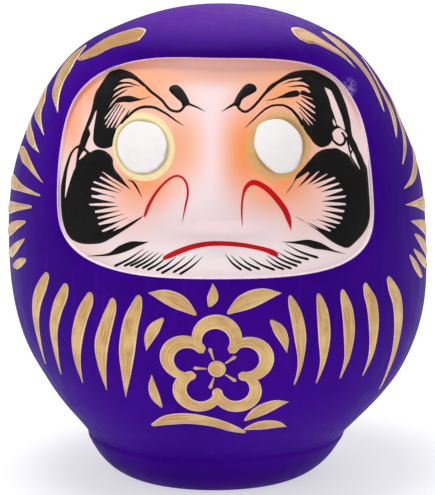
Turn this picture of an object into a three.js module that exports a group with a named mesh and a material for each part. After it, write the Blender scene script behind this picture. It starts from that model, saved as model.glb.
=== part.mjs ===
// Daruma doll: a hollow papier-mache body in two halves on a weighted clay foot.
// Millimetres, +Z up, the face looks along -Y, the origin is the middle of the flat underside.
import * as THREE from 'three';

// ---- Driving dimensions ----
const HEIGHT = 181.4;          // crown above the table
const HALF_WIDTH = 80.7;       // widest half breadth of the body
const WIDEST_Z = 84.5;         // height of the widest section
const CROWN_POWER = 2.6;       // how square-shouldered the crown is
const MOUTH_RADIUS = 49.4;     // open mouth of the shell, where the foot joins
const MOUTH_Z = 15.2;
const BELLY_PULL = 48;         // how far the belly stays full below the widest section
const BELLY_TURN = { r: 48.2, z: 20.8 }; // where the belly turns in to the mouth
const WALL = 2;                // paper wall
const GAP = 0.3;               // glue line between neighbouring pieces

const FACE_Z = 118;            // middle of the face opening
const FACE_LEFT = 58.6;        // the opening is a little wider to the left than to the right
const FACE_RIGHT = 57.2;
const FACE_UP = 47.4;          // opening above its middle
const FACE_DOWN = 27.6;        // opening below its middle
const FACE_POWER_UP = 3.1;     // squareness of the opening's corners
const FACE_POWER_DOWN = { left: 3.6, right: 4.3 };
const FACE_DEPTH = 4.4;        // how far the face lies behind the hood at its sides
const HOOD_OVERHANG = 3.4;     // added above the brow, taken away at the chin
const BRIM = { high: 5, z: 170, tall: 6.5, wide: 44, fade: 30 }; // the hood swells out above the face

const CENTRE_Z = 90;           // the inner wall is the outer one shrunk about this height
const SHRINK = 1 - WALL / HALF_WIDTH;
const RIM_STEPS = 60;          // round the seam, from one mouth corner over the crown to the other
const MOUTH_STEPS = 22;        // round half of the mouth
const ROUND = 72;              // segments of the turned pieces

const FOOT_HEIGHT = 14.8;
const FOOT_FLAT_RADIUS = 37;
const SHEET_RADIUS = 34.8;
const PAPER = 0.5;             // pasted washi
const STRIP_WIDTH = 14;
const STRIP_GAP = 0.7;         // the strip spans the flats of the walls

const face = {
  nose: { x: 0, z: 114, wide: 13, tall: 14, high: 4 },
  eyes: { x: 24.5, z: 137, wide: 9, tall: 9, high: 1.6 },
  cheeks: { x: 33, z: 106, wide: 12, tall: 10, high: 1.4 },
};

// ---- Body surface ----
const lowerCurve = new THREE.CubicBezierCurve(
  new THREE.Vector2(HALF_WIDTH, WIDEST_Z),
  new THREE.Vector2(HALF_WIDTH, WIDEST_Z - BELLY_PULL),
  new THREE.Vector2(BELLY_TURN.r, BELLY_TURN.z),
  new THREE.Vector2(MOUTH_RADIUS, MOUTH_Z),
);
const lowerPoints = lowerCurve.getPoints(200);

// Radius of the body at height z.
function bodyRadius(z) {
  if (z >= WIDEST_Z) {
    const rise = Math.min((z - WIDEST_Z) / (HEIGHT - WIDEST_Z), 1);
    return HALF_WIDTH * Math.sqrt(1 - Math.pow(rise, CROWN_POWER));
  }
  const i = Math.max(lowerPoints.findIndex((p) => p.y <= z), 1);
  const above = lowerPoints[i - 1];
  const below = lowerPoints[i];
  return THREE.MathUtils.mapLinear(z, above.y, below.y, above.x, below.x);
}

// Depth of the body's front at (x, z), as a positive distance from the seam plane.
function bodyDepth(x, z) {
  const radius = bodyRadius(z);
  return Math.sqrt(Math.max(radius * radius - x * x, 0));
}

// ---- Face opening and the relief inside it ----
function faceOutline(angle) {
  const c = Math.cos(angle);
  const s = Math.sin(angle);
  const low = c < 0 ? FACE_POWER_DOWN.left : FACE_POWER_DOWN.right;
  const power = s >= 0 ? FACE_POWER_UP : low;
  const height = s >= 0 ? FACE_UP : FACE_DOWN;
  const width = c < 0 ? FACE_LEFT : FACE_RIGHT;
  return Math.pow(Math.pow(Math.abs(c) / width, power) + Math.pow(Math.abs(s) / height, power), -1 / power);
}

function bump(shape, x, z) {
  const u = (Math.abs(x) - shape.x) / shape.wide;
  const v = (z - shape.z) / shape.tall;
  return shape.high * Math.exp(-(u * u + v * v));
}

function faceRecess(x, z) {
  const lift = THREE.MathUtils.clamp((z - FACE_Z) / FACE_UP, -1, 1);
  const relief = bump(face.nose, x, z) + bump(face.eyes, x, z) + bump(face.cheeks, x, z);
  return FACE_DEPTH + HOOD_OVERHANG * lift - relief;
}

// How far the hood stands out above the face; nothing at the seam.
function hoodBrim(x, z) {
  const swell = Math.exp(-(((z - BRIM.z) / BRIM.tall) ** 2) - (x / BRIM.wide) ** 2);
  return BRIM.high * swell * THREE.MathUtils.smoothstep(bodyDepth(x, z), 0, BRIM.fade);
}

// ---- Half shells: rings of points from the middle of the half out to its edge ----
function insideEdge(x, z) {
  return z > MOUTH_Z && z < HEIGHT && Math.abs(x) < bodyRadius(z);
}

// Directions of the rings' points: evenly round the seam, then round the mouth.
function directions(middleZ) {
  const corner = Math.atan2(MOUTH_Z - middleZ, MOUTH_RADIUS);
  const angles = [];
  for (let i = 0; i < RIM_STEPS; i++) {
    angles.push(THREE.MathUtils.lerp(corner, Math.PI - corner, i / RIM_STEPS));
  }
  for (let i = 0; i < MOUTH_STEPS; i++) {
    const x = -MOUTH_RADIUS * Math.cos((Math.PI * i) / MOUTH_STEPS);
    angles.push(Math.atan2(MOUTH_Z - middleZ, x));
  }
  return angles;
}

function edgePoint(angle, middleZ) {
  let near = 0;
  let far = 200;
  for (let i = 0; i < 40; i++) {
    const half = (near + far) / 2;
    const inside = insideEdge(half * Math.cos(angle), middleZ + half * Math.sin(angle));
    if (inside) near = half;
    else far = half;
  }
  return { x: near * Math.cos(angle), z: middleZ + near * Math.sin(angle) };
}

function shrink(point) {
  return { x: point.x * SHRINK, z: CENTRE_Z + (point.z - CENTRE_Z) * SHRINK };
}

function wallDepth(x, z, inner) {
  if (!inner) return bodyDepth(x, z);
  return SHRINK * bodyDepth(x / SHRINK, CENTRE_Z + (z - CENTRE_Z) / SHRINK);
}

const RINGS_OUTSIDE = [0.09, 0.2, 0.32, 0.45, 0.58, 0.7, 0.81, 0.9, 0.96, 0.99, 1];
const RINGS_IN_FACE = [0.12, 0.24, 0.36, 0.48, 0.6, 0.72, 0.84, 0.965];

// The front half, with the face set back inside its opening.
function frontRings(inner) {
  return directions(FACE_Z).map((angle) => {
    const edge = edgePoint(angle, FACE_Z);
    const last = inner ? shrink(edge) : edge;
    const reach = faceOutline(angle) + (inner ? 1.6 : 0);
    const along = (r) => ({ x: r * Math.cos(angle), z: FACE_Z + r * Math.sin(angle) });
    const rim = along(reach);
    const points = RINGS_IN_FACE.map((share) => {
      const p = along(share * reach);
      const depth = bodyDepth(p.x, p.z) - faceRecess(p.x, p.z) - (inner ? 1.1 * WALL : 0);
      return new THREE.Vector3(p.x, -depth, p.z);
    });
    for (const share of [0, ...RINGS_OUTSIDE]) {
      const x = THREE.MathUtils.lerp(rim.x, last.x, share);
      const z = THREE.MathUtils.lerp(rim.z, last.z, share);
      const onMouth = share === 1 && angle < 0 && Math.abs(edge.z - MOUTH_Z) < 0.01;
      const depth = share === 1 && !onMouth ? 0 : wallDepth(x, z, inner) + hoodBrim(x, z);
      points.push(new THREE.Vector3(x, -depth, z));
    }
    return points;
  });
}

function frontMiddle(inner) {
  const depth = bodyDepth(0, FACE_Z) - faceRecess(0, FACE_Z) - (inner ? 1.1 * WALL : 0);
  return new THREE.Vector3(0, -depth, FACE_Z);
}

// The back half is plain.
const BACK_Z = 97;
const RINGS_BACK = [0.14, 0.28, 0.42, 0.55, 0.67, 0.77, 0.86, 0.93, 0.97, 0.99, 1];

function backRings(inner) {
  return directions(BACK_Z).map((angle) => {
    const edge = edgePoint(angle, BACK_Z);
    const last = inner ? shrink(edge) : edge;
    return RINGS_BACK.map((share) => {
      const x = last.x * share;
      const z = THREE.MathUtils.lerp(BACK_Z, last.z, share);
      const onMouth = share === 1 && angle < 0 && Math.abs(edge.z - MOUTH_Z) < 0.01;
      const depth = share === 1 && !onMouth ? 0 : wallDepth(x, z, inner);
      return new THREE.Vector3(x, depth, z);
    });
  });
}

function backMiddle(inner) {
  return new THREE.Vector3(0, wallDepth(0, BACK_Z, inner), BACK_Z);
}

// Joins an outer and an inner surface of rings into one closed wall.
function wallGeometry(outer, inner, outerMiddle, innerMiddle, flip) {
  const spokes = outer.length;
  const rings = outer[0].length;
  const points = [outerMiddle, innerMiddle];
  const index = [];
  const face3 = (a, b, c) => (flip ? index.push(a, c, b) : index.push(a, b, c));
  const first = points.length;
  outer.forEach((spoke) => points.push(...spoke));
  inner.forEach((spoke) => points.push(...spoke));
  const out = (s, r) => first + (s % spokes) * rings + r;
  const inn = (s, r) => out(s, r) + spokes * rings;
  for (let s = 0; s < spokes; s++) {
    face3(0, out(s, 0), out(s + 1, 0));
    face3(1, inn(s + 1, 0), inn(s, 0));
    for (let r = 0; r < rings - 1; r++) {
      face3(out(s, r), out(s, r + 1), out(s + 1, r + 1));
      face3(out(s, r), out(s + 1, r + 1), out(s + 1, r));
      face3(inn(s, r), inn(s + 1, r + 1), inn(s, r + 1));
      face3(inn(s, r), inn(s + 1, r), inn(s + 1, r + 1));
    }
    face3(out(s, rings - 1), inn(s, rings - 1), inn(s + 1, rings - 1));
    face3(out(s, rings - 1), inn(s + 1, rings - 1), out(s + 1, rings - 1));
  }
  return meshGeometry(points, index);
}

function meshGeometry(points, index) {
  const geometry = new THREE.BufferGeometry().setFromPoints(points);
  geometry.setIndex(index);
  geometry.computeVertexNormals();
  return geometry;
}

// ---- Seam strip: a ribbon of washi pasted inside, over the seam ----
function seamStripGeometry() {
  const angles = directions(FACE_Z).slice(0, RIM_STEPS + 1);
  const outside = SHRINK - STRIP_GAP / HALF_WIDTH;
  const inside = outside - PAPER / HALF_WIDTH;
  const across = [-0.5, 0, 0.5];
  const points = [];
  for (const angle of angles) {
    const edge = edgePoint(angle, FACE_Z);
    const section = [...across.map((y) => [y, outside]), ...across.toReversed().map((y) => [y, inside])];
    for (const [share, scale] of section) {
      const y = share * STRIP_WIDTH;
      const k = scale * Math.sqrt(1 - (y / HALF_WIDTH) ** 2);
      points.push(new THREE.Vector3(edge.x * k, y, CENTRE_Z + (edge.z - CENTRE_Z) * k));
    }
  }
  const corners = 2 * across.length;
  const index = [];
  for (let i = 0; i < angles.length - 1; i++) {
    for (let j = 0; j < corners; j++) {
      const a = i * corners + j;
      const b = i * corners + ((j + 1) % corners);
      index.push(a, b + corners, a + corners, a, b, b + corners);
    }
  }
  const end = (angles.length - 1) * corners;
  for (const [p, q, r] of [[0, 1, 4], [0, 4, 5], [1, 2, 3], [1, 3, 4]]) {
    index.push(p, r, q);
    index.push(end + p, end + q, end + r);
  }
  return meshGeometry(points, index);
}

// ---- Turned pieces ----
function turned(profile) {
  const points = profile.map(([r, z]) => new THREE.Vector2(r, z));
  return new THREE.LatheGeometry(points, ROUND).rotateX(Math.PI / 2);
}

// Side of the foot, from the flat underside up to its shoulder.
const footSide = new THREE.CubicBezierCurve(
  new THREE.Vector2(FOOT_FLAT_RADIUS, 0),
  new THREE.Vector2(FOOT_FLAT_RADIUS + 4.5, 2.2),
  new THREE.Vector2(MOUTH_RADIUS - 1.2, 8.5),
  new THREE.Vector2(MOUTH_RADIUS - 0.8, FOOT_HEIGHT - 1),
).getPoints(8).map((p) => [p.x, p.y]);

// The underside has a shallow recess for the paper pasted on it.
const footProfile = [
  [0, PAPER + GAP],
  [SHEET_RADIUS + GAP, PAPER + GAP],
  [SHEET_RADIUS + GAP, 0],
  ...footSide,
  [MOUTH_RADIUS - 0.9, FOOT_HEIGHT],
  [MOUTH_RADIUS - 2.4, FOOT_HEIGHT + 0.4],
  [MOUTH_RADIUS - 2.6, FOOT_HEIGHT + 3],
  [MOUTH_RADIUS - 5, FOOT_HEIGHT + 3.6],
  [MOUTH_RADIUS - 18, FOOT_HEIGHT],
  [0, FOOT_HEIGHT - 2.5],
];

// A paper band that covers the joint of body and foot.
const bandInside = [
  ...[23.5, 22, 20.5, 19, 17.5, 16.3].map((z) => [bodyRadius(z) + 0.95, z - 0.1]),
  [MOUTH_RADIUS + 0.7, MOUTH_Z - 0.3],
  [MOUTH_RADIUS + 0.2, FOOT_HEIGHT - 2.3],
  [MOUTH_RADIUS - 0.5, FOOT_HEIGHT - 4.4],
];
const bandOutside = bandInside.map(([r, z]) => [r + PAPER, z - 0.1]).toReversed();
const bandProfile = [...bandInside, ...bandOutside, bandInside[0]];

const sheetProfile = [
  [0, 0],
  [SHEET_RADIUS, 0],
  [SHEET_RADIUS, PAPER],
  [0, PAPER],
];

// ---- Materials ----
const material = (color, roughness) => new THREE.MeshStandardMaterial({ color, roughness, metalness: 0 });
const purplePaint = material('#3f1585', 0.6);
const purpleFoot = material('#33106c', 0.6);
const washi = material('#d9cfbb', 0.9);

// ---- Assembly ----
const daruma = new THREE.Group();
daruma.name = 'daruma_doll';

function add(name, geometry, look, y = 0) {
  const mesh = new THREE.Mesh(geometry, look);
  mesh.name = name;
  mesh.position.y = y;
  daruma.add(mesh);
}

add('front_shell', wallGeometry(frontRings(false), frontRings(true), frontMiddle(false), frontMiddle(true), false),
  purplePaint, -GAP / 2);
add('back_shell', wallGeometry(backRings(false), backRings(true), backMiddle(false), backMiddle(true), true),
  purplePaint, GAP / 2);
add('seam_strip', seamStripGeometry(), washi);
add('foot_weight', turned(footProfile), purpleFoot);
add('foot_joint_band', turned(bandProfile), purpleFoot);
add('underside_sheet', turned(sheetProfile), washi);

export default daruma;
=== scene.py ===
import math

import bpy
import numpy as np
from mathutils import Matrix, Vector
from mathutils.geometry import delaunay_2d_cdt


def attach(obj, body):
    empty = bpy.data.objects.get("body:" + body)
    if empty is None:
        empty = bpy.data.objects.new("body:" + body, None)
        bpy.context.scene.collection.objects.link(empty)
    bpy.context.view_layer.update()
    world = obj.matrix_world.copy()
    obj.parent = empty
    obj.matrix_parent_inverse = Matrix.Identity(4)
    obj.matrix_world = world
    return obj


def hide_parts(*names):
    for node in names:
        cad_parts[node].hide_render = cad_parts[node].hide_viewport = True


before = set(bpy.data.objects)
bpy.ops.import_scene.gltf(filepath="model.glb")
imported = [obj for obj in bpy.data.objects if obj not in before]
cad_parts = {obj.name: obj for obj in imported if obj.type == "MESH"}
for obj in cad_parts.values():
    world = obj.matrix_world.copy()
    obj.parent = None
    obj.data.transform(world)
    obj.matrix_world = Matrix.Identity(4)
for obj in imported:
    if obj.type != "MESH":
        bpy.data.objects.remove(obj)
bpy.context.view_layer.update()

# Lengths are in millimetres up to new_mesh(), which makes metres.
MM = 0.001

# ---------------------------------------------------------------- body shape
HEIGHT, HALF_WIDTH, WIDEST_Z = 181.4, 80.7, 84.5
CENTRE = np.array([0, 0, 90.0])
CROWN_POWER = 2.6  # above the widest height the outline is a superellipse
MOUTH_R, MOUTH_Z = 49.4, 15.2
BACK_Z = 97.0      # the back half's rings run round this height
FACE_Z, FACE_LEFT, FACE_RIGHT, FACE_UP, FACE_DOWN = 118.0, 58.6, 57.2, 47.4, 27.6
LIP = 12.0         # the hood's rounded edge and brim are finely divided about this far out
WALL_RUN = 1.2     # how far the niche wall runs inwards


def bezier(points, t):
    """A cubic Bezier curve's points."""
    p = np.array(points, float)
    t = np.asarray(t, float)[:, None]
    return (1 - t) ** 3 * p[0] + 3 * (1 - t) ** 2 * t * p[1] + 3 * (1 - t) * t ** 2 * p[2] + t ** 3 * p[3]


BELLY = bezier([(80.7, 84.5), (81.6, 37.5), (52.6, 22.6), (49.6, 15.2)], np.linspace(0, 1, 400))


def smooth(t):
    """0 below 0 and 1 above 1, with a smooth step between."""
    t = np.clip(t, 0, 1)
    return t * t * (3 - 2 * t)


def hump(d, wide):
    """A soft bump of height 1, a given distance from its middle."""
    return np.exp(-(d / wide) ** 2)


def radius(z):
    """The plain body's radius at a height."""
    z = np.asarray(z, float)
    rise = np.clip((z - WIDEST_Z) / (HEIGHT - WIDEST_Z), 0, 1)
    crown = HALF_WIDTH * np.sqrt(1 - rise ** CROWN_POWER)
    return np.where(z >= WIDEST_Z, crown, np.interp(-z, -BELLY[:, 1], BELLY[:, 0]))


def outline(angle):
    """Reach of the face opening from its middle, at an angle in the front plane."""
    c, s = np.cos(angle), np.sin(angle)
    # the lower corners are squarer than the upper ones
    power = np.where(s >= 0, 3.1, np.where(c < 0, 3.6, 4.3))
    wide = np.where(c < 0, FACE_LEFT, FACE_RIGHT)
    tall = np.where(s >= 0, FACE_UP, FACE_DOWN)
    return ((np.abs(c) / wide) ** power + (np.abs(s) / tall) ** power) ** (-1 / power)


def recess(x, z):
    """How far the front lies behind the plain body: the hood's brim, the niche wall and the face."""
    reach = outline(np.arctan2(z - FACE_Z, x))
    r = np.hypot(x, z - FACE_Z)
    t = r - reach
    lift = np.clip((z - FACE_Z) / FACE_UP, -1, 1)
    high = np.clip(lift, 0, 1) ** 2
    edge = 1.3 + 0.2 * lift + 2.4 * high
    depth = np.sqrt(np.clip(radius(z) ** 2 - x ** 2, 0, None))
    brim = 5.0 * hump(z - 170, 6.5) * hump(x, 44) * smooth(depth / 30)
    floor = 4.4 + 3.4 * lift
    nose_wide = 6.5 + 0.24 * np.clip(140 - z, 0, 40)
    relief = 5.2 * hump(x, nose_wide) * smooth((148 - z) / 32) * smooth((z - 105.5) / 7)
    for side in (-1, 1):
        relief = relief + 1.8 * hump(x - 25 * side + 2, 10) * hump(z - 136.5, 10)
        relief = relief + 1.8 * hump(x - 33 * side, 13) * hump(z - 105, 11)
        relief = relief + 1.5 * hump(x - 19 * side, 9) * hump(z - 117, 8)
    relief = relief + 1.5 * hump(x, 22) * hump(z - 97, 4.5)
    rim = edge - brim
    inside = rim + (floor - rim) * smooth(-t / WALL_RUN)
    inside = inside + (1.4 * smooth((1 - r / reach) * 3) - relief) * smooth(-t / 7)
    return np.where(t > 0, edge * np.clip(1 - t / (6 + 5 * high), 0, 1) ** 2 - brim, inside)


def warp(p):
    """The hand-made unevenness, the same for every piece: slow lumps and a slight lean."""
    x, y, z = p[:, 0], p[:, 1], p[:, 2]
    lump = (0.35 * np.sin(0.05 * x + 0.03 * z + 0.4) * np.sin(0.045 * z + 0.04 * y)
            + 0.22 * np.sin(0.11 * x - 0.05 * y + 1.0) * np.sin(0.085 * z + 0.7)
            + 0.12 * np.sin(0.16 * y + 0.1 * z) * np.sin(0.13 * x + 0.5 * np.sin(0.06 * z)))
    out = p - CENTRE
    out = out / np.maximum(np.linalg.norm(out, axis=1, keepdims=True), 1e-6)
    lump = lump * smooth(z / 14) + 0.9 * hump(z - 164, 9) - 0.8 * hump(z - 136, 15)
    lean = np.interp(z, [0, 12, 22, 40, 60, 110, 150, 180], [-1.0, -0.6, 0.2, 1.4, 0.9, 0.1, -0.7, 0.2])
    moved = p + out * lump[:, None]
    moved[:, 0] += lean
    return moved


# ---------------------------------------------------------------- mesh helpers
def new_mesh(name, points, faces, materials, face_material=None, uv=None):
    """An object of warped points in mm; uv holds the brush coordinates of each point."""
    places = warp(np.asarray(points, float)) * MM
    mesh = bpy.data.meshes.new(name)
    mesh.from_pydata(places.tolist(), [], [list(map(int, f)) for f in faces])
    for m in materials:
        mesh.materials.append(m)
    mesh.polygons.foreach_set("use_smooth", [True] * len(mesh.polygons))
    if face_material is not None:
        mesh.polygons.foreach_set("material_index", np.asarray(face_material, np.int32))
    if uv is not None:
        layer = mesh.uv_layers.new(name="brush")
        loops = np.zeros(len(mesh.loops), np.int32)
        mesh.loops.foreach_get("vertex_index", loops)
        layer.data.foreach_set("uv", np.asarray(uv, np.float32)[loops].ravel())
    mesh.update()
    piece = bpy.data.objects.new(name, mesh)
    bpy.context.collection.objects.link(piece)
    return piece


def ring_faces(spokes, rings, first, flip):
    """Quads between neighbouring rings; vertex (s, r) is first + s * rings + r."""
    s, r = np.meshgrid(np.arange(spokes), np.arange(rings - 1), indexing="ij")
    a = first + s * rings + r
    b = first + ((s + 1) % spokes) * rings + r
    quads = np.stack([a, a + 1, b + 1, b], -1).reshape(-1, 4)
    return quads[:, ::-1] if flip else quads


# ---------------------------------------------------------------- materials
def srgb(r, g, b):
    """The linear colour of an sRGB one, with an alpha of 1."""
    shares = [v / 255 for v in (r, g, b)]
    return (*[v / 12.92 if v <= 0.04 else ((v + 0.055) / 1.055) ** 2.4 for v in shares], 1.0)


class Shader:
    """A small wrapper that makes and links shader nodes."""

    def __init__(self, name, roughness, specular=0.5, metallic=0.0):
        self.material = bpy.data.materials.new(name)
        self.material.use_nodes = True
        self.tree = self.material.node_tree
        self.bsdf = self.tree.nodes["Principled BSDF"]
        self.bsdf.inputs["Roughness"].default_value = roughness
        self.bsdf.inputs["Specular IOR Level"].default_value = specular
        self.bsdf.inputs["Metallic"].default_value = metallic
        self.place = self.node("ShaderNodeTexCoord").outputs["Object"]
        self.brush = self.node("ShaderNodeTexCoord").outputs["UV"]

    def node(self, kind):
        return self.tree.nodes.new(kind)

    def put(self, socket, value):
        if isinstance(value, bpy.types.NodeSocket):
            self.tree.links.new(value, socket)
        else:
            socket.default_value = value

    def math(self, op, a, b=0.0):
        n = self.node("ShaderNodeMath")
        n.operation = op
        self.put(n.inputs[0], a)
        self.put(n.inputs[1], b)
        return n.outputs[0]

    def times(self, a, b):
        return self.math("MULTIPLY", a, b)

    def axis(self, vector, letter):
        n = self.node("ShaderNodeSeparateXYZ")
        self.put(n.inputs[0], vector)
        return n.outputs[letter]

    def scaled(self, vector, scale):
        n = self.node("ShaderNodeMapping")
        self.put(n.inputs["Vector"], vector)
        n.inputs["Scale"].default_value = scale
        return n.outputs[0]

    def noise(self, vector, scale, detail=4.0, rough=0.5):
        n = self.node("ShaderNodeTexNoise")
        self.put(n.inputs["Vector"], vector)
        n.inputs["Scale"].default_value = scale
        n.inputs["Detail"].default_value = detail
        n.inputs["Roughness"].default_value = rough
        return n.outputs["Fac"]

    def ramp(self, value, low, high, to_low=0.0, to_high=1.0):
        n = self.node("ShaderNodeMapRange")
        n.interpolation_type = "SMOOTHSTEP"
        for socket, v in zip(n.inputs, (value, low, high, to_low, to_high)):
            self.put(socket, v)
        return n.outputs[0]

    def mix(self, factor, a, b):
        n = self.node("ShaderNodeMix")
        n.data_type = "RGBA"
        self.put(n.inputs["Factor"], factor)
        self.put(n.inputs["A"], a)
        self.put(n.inputs["B"], b)
        return n.outputs["Result"]

    def spot(self, x, z, wide, tall, inner=0.0):
        """1 at (x, z) in the front plane, in mm, fading to 0 at the edge of an ellipse."""
        shifted = self.node("ShaderNodeVectorMath")
        shifted.operation = "MULTIPLY_ADD"
        self.put(shifted.inputs[0], self.place)
        shifted.inputs[1].default_value = (1 / (wide * MM), 0, 1 / (tall * MM))
        shifted.inputs[2].default_value = (-x / wide, 0, -z / tall)
        length = self.node("ShaderNodeVectorMath")
        length.operation = "LENGTH"
        self.put(length.inputs[0], shifted.outputs[0])
        return self.ramp(length.outputs["Value"], 1.0, inner)

    def finish(self, color, height=None, depth=0.0002, strength=1.0):
        self.put(self.bsdf.inputs["Base Color"], color)
        if height is not None:
            bump = self.node("ShaderNodeBump")
            bump.inputs["Strength"].default_value = strength
            bump.inputs["Distance"].default_value = depth
            self.put(bump.inputs["Height"], height)
            self.put(self.bsdf.inputs["Normal"], bump.outputs[0])
        return self.material


def purple_paint(name, base, dark, light, hood=False):
    """The body's brushed purple, with a painted highlight over the crown and painted shade at the foot; hood
    adds painted shade just above the face and a scuff, seen only round the face.
    """
    s = Shader(name, 0.55, 0.02)
    cloud = s.noise(s.place, 22, 3)
    grain = s.noise(s.place, 900, 3, 0.6)
    brushed = s.noise(s.scaled(s.place, (260, 260, 40)), 1.0, 3)
    color = s.mix(s.ramp(cloud, 0.35, 0.65), dark, base)
    if hood:
        # painted shade: darker just above the face, where the hood's brim turns down
        color = s.mix(s.times(s.spot(0, 168, 66, 9), 0.6), color, srgb(34, 2, 84))
        scuff = s.times(s.spot(49, 153.6, 3.6, 4, 0.2), s.ramp(s.noise(s.place, 600, 3), 0.4, 0.6))
        color = s.mix(s.times(scuff, 0.6), color, srgb(170, 150, 205))
    color = s.mix(s.times(s.ramp(brushed, 0.5, 0.75), 0.35), color, light)
    speck = s.math("GREATER_THAN", s.noise(s.place, 420, 0), 0.79)
    color = s.mix(s.times(speck, 0.4), color, light)
    # painted light and shade: a painted highlight, paler over the crown, and painted shade, darker at the
    # foot
    level = s.axis(s.place, "Z")
    color = s.mix(s.ramp(level, 166 * MM, 182 * MM, 0, 0.75), color, srgb(100, 44, 160))
    color = s.mix(s.ramp(level, 5 * MM, 17 * MM, 0.4, 0), color, srgb(34, 0, 88))
    s.put(s.bsdf.inputs["Roughness"], s.ramp(brushed, 0.3, 0.7, 0.42, 0.55))
    height = s.math("ADD", s.times(brushed, 0.6), s.times(grain, 0.4))
    return s.finish(color, height, 0.00012, 0.6)


def face_paint():
    """Pale skin with soft airbrushed spots of orange and pink, and rings round the eyes, with painted light
    and shade under the hood's brim and painted shade inside the rings.
    """
    s = Shader("face_paint", 0.55, 0.2)
    skin, orange, deep = srgb(248, 224, 226), srgb(252, 164, 106), srgb(253, 148, 76)
    peach, pink = srgb(244, 186, 160), srgb(252, 184, 158)
    streak = s.noise(s.scaled(s.place, (30, 60, 190)), 1.0, 3)
    color = s.mix(s.times(s.spot(0, 112, 40, 26), 0.4), skin, srgb(240, 222, 230))
    # a peach band along the face's top under the hood's brim: airbrushed orange, and partly painted shade
    band = s.times(s.spot(0, 166, 72, 12.5, 0.5), s.ramp(streak, 0.2, 0.7, 0.55, 0.95))
    color = s.mix(band, color, srgb(238, 172, 142))
    for x, z, wide, tall, amount, tint in (
        # brow and forehead
        (0, 163.5, 60, 6.5, 0.2, srgb(232, 156, 120)),
        (-27, 154, 24, 14, 0.9, orange),
        (24, 154, 24, 13, 0.95, orange),
        (-20, 162, 26, 7, 0.3, orange),
        # round the eyes and down the nose
        (24, 135, 27, 25, 0.95, deep),
        (10, 135, 14, 28, 0.95, deep),
        (-25, 134, 27, 23, 0.85, orange),
        (-13, 137, 13, 22, 0.6, orange),
        (-27, 122, 18, 13, 0.9, deep),
        (25, 122, 18, 13, 0.85, deep),
        # cheeks, the face's edges, the chin and beside the nose
        (-31, 115, 18, 14, 0.6, pink),
        (32, 114, 18, 14, 0.6, pink),
        (-53, 142, 9, 24, 0.8, orange),
        (-47, 153, 10, 13, 0.8, orange),
        # paler along the face's top edge: painted light against the shade under the hood's brim
        (0, 164.6, 60, 7, 0.85, srgb(255, 216, 208)),
        (0, 97, 62, 10, 0.8, srgb(255, 244, 246)),
        (52, 148, 8, 16, 0.35, peach),
        (-48, 96, 16, 7, 0.35, peach),
        (17, 119, 10, 14, 0.35, orange),
    ):
        color = s.mix(s.times(s.spot(x, z, wide, tall), amount), color, tint)
    # rings round the eyes: thick cream on the left, soft dull gold on the right, each with painted shade
    # along its inner edge
    grain = s.noise(s.place, 500, 3)
    cream = s.mix(grain, srgb(240, 214, 150), srgb(255, 242, 196))
    dull_gold = s.mix(grain, srgb(198, 160, 92), srgb(220, 184, 120))
    color = s.mix(s.spot(-26.6, 135.3, 11.7, 11.9, 0.95), color, cream)
    shade = s.times(s.spot(-27, 135.3, 10.5, 10.1, 0.88), 0.75)
    color = s.mix(shade, color, srgb(170, 146, 104))
    color = s.mix(s.times(s.spot(22.3, 135.8, 13.4, 13, 0.76), 0.85), color, dull_gold)
    shade = s.times(s.spot(22.8, 136, 10, 10.1, 0.86), 0.6)
    color = s.mix(shade, color, srgb(136, 104, 62))
    return s.finish(color, s.noise(s.place, 700, 4, 0.6), 0.0001, 0.5)


def plain_paint(name, base, other, roughness, specular=0.4, grain=300):
    """Two close colours in small clouds."""
    s = Shader(name, roughness, specular)
    cloud = s.noise(s.place, grain, 4, 0.6)
    color = s.mix(s.ramp(cloud, 0.35, 0.7), base, other)
    return s.finish(color, s.noise(s.place, grain * 3, 3), 0.00008, 0.4)


def gold_paint():
    """Gold laid on with a loaded brush: streaks along the stroke, paler edges as a painted highlight on the
    raised paint, deeper over the shoulders.
    """
    s = Shader("gold_paint", 0.45, 0.4, 0.25)
    streaks = s.noise(s.scaled(s.brush, (90, 1500, 1)), 1.0, 4, 0.6)
    cloud = s.noise(s.place, 120, 3)
    color = s.mix(s.ramp(streaks, 0.3, 0.75), srgb(184, 136, 76), srgb(228, 188, 126))
    color = s.mix(s.times(s.ramp(cloud, 0.4, 0.7), 0.5), color, srgb(238, 204, 144))
    high = s.ramp(s.axis(s.place, "Z"), 152 * MM, 168 * MM, 0, 0.6)
    color = s.mix(high, color, srgb(186, 126, 66))
    # paler edges: a painted highlight where the raised paint's edges catch the light
    edge = s.ramp(s.math("ABSOLUTE", s.axis(s.brush, "Y")), 1.9 * MM, 2.9 * MM)
    color = s.mix(s.times(edge, 0.75), color, srgb(250, 226, 182))
    s.put(s.bsdf.inputs["Roughness"], s.ramp(streaks, 0.3, 0.7, 0.5, 0.36))
    height = s.math("ADD", streaks, s.times(s.noise(s.place, 900, 2), 0.4))
    return s.finish(color, height, 0.0002, 0.6)


SHADES = srgb(60, 4, 140), srgb(52, 2, 130), srgb(72, 16, 148)
PURPLE = purple_paint("purple_paint", *SHADES)
PURPLE_FRONT = purple_paint("purple_paint_front", *SHADES, hood=True)
FACE = face_paint()
RIM = plain_paint("rim_white", srgb(250, 232, 240), srgb(244, 220, 228), 0.5)
GOLD = gold_paint()
INK = plain_paint("black_ink", srgb(13, 11, 10), srgb(20, 19, 22), 0.45, 0.12, 120)
RED = plain_paint("red_lacquer", srgb(206, 2, 14), srgb(192, 2, 22), 0.4, 0.15)
WHITE = plain_paint("eye_white", srgb(247, 243, 242), srgb(243, 239, 239), 0.45, 0.3, 200)
WASHI = plain_paint("washi", srgb(217, 207, 187), srgb(200, 188, 165), 0.9, 0.2)

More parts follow.
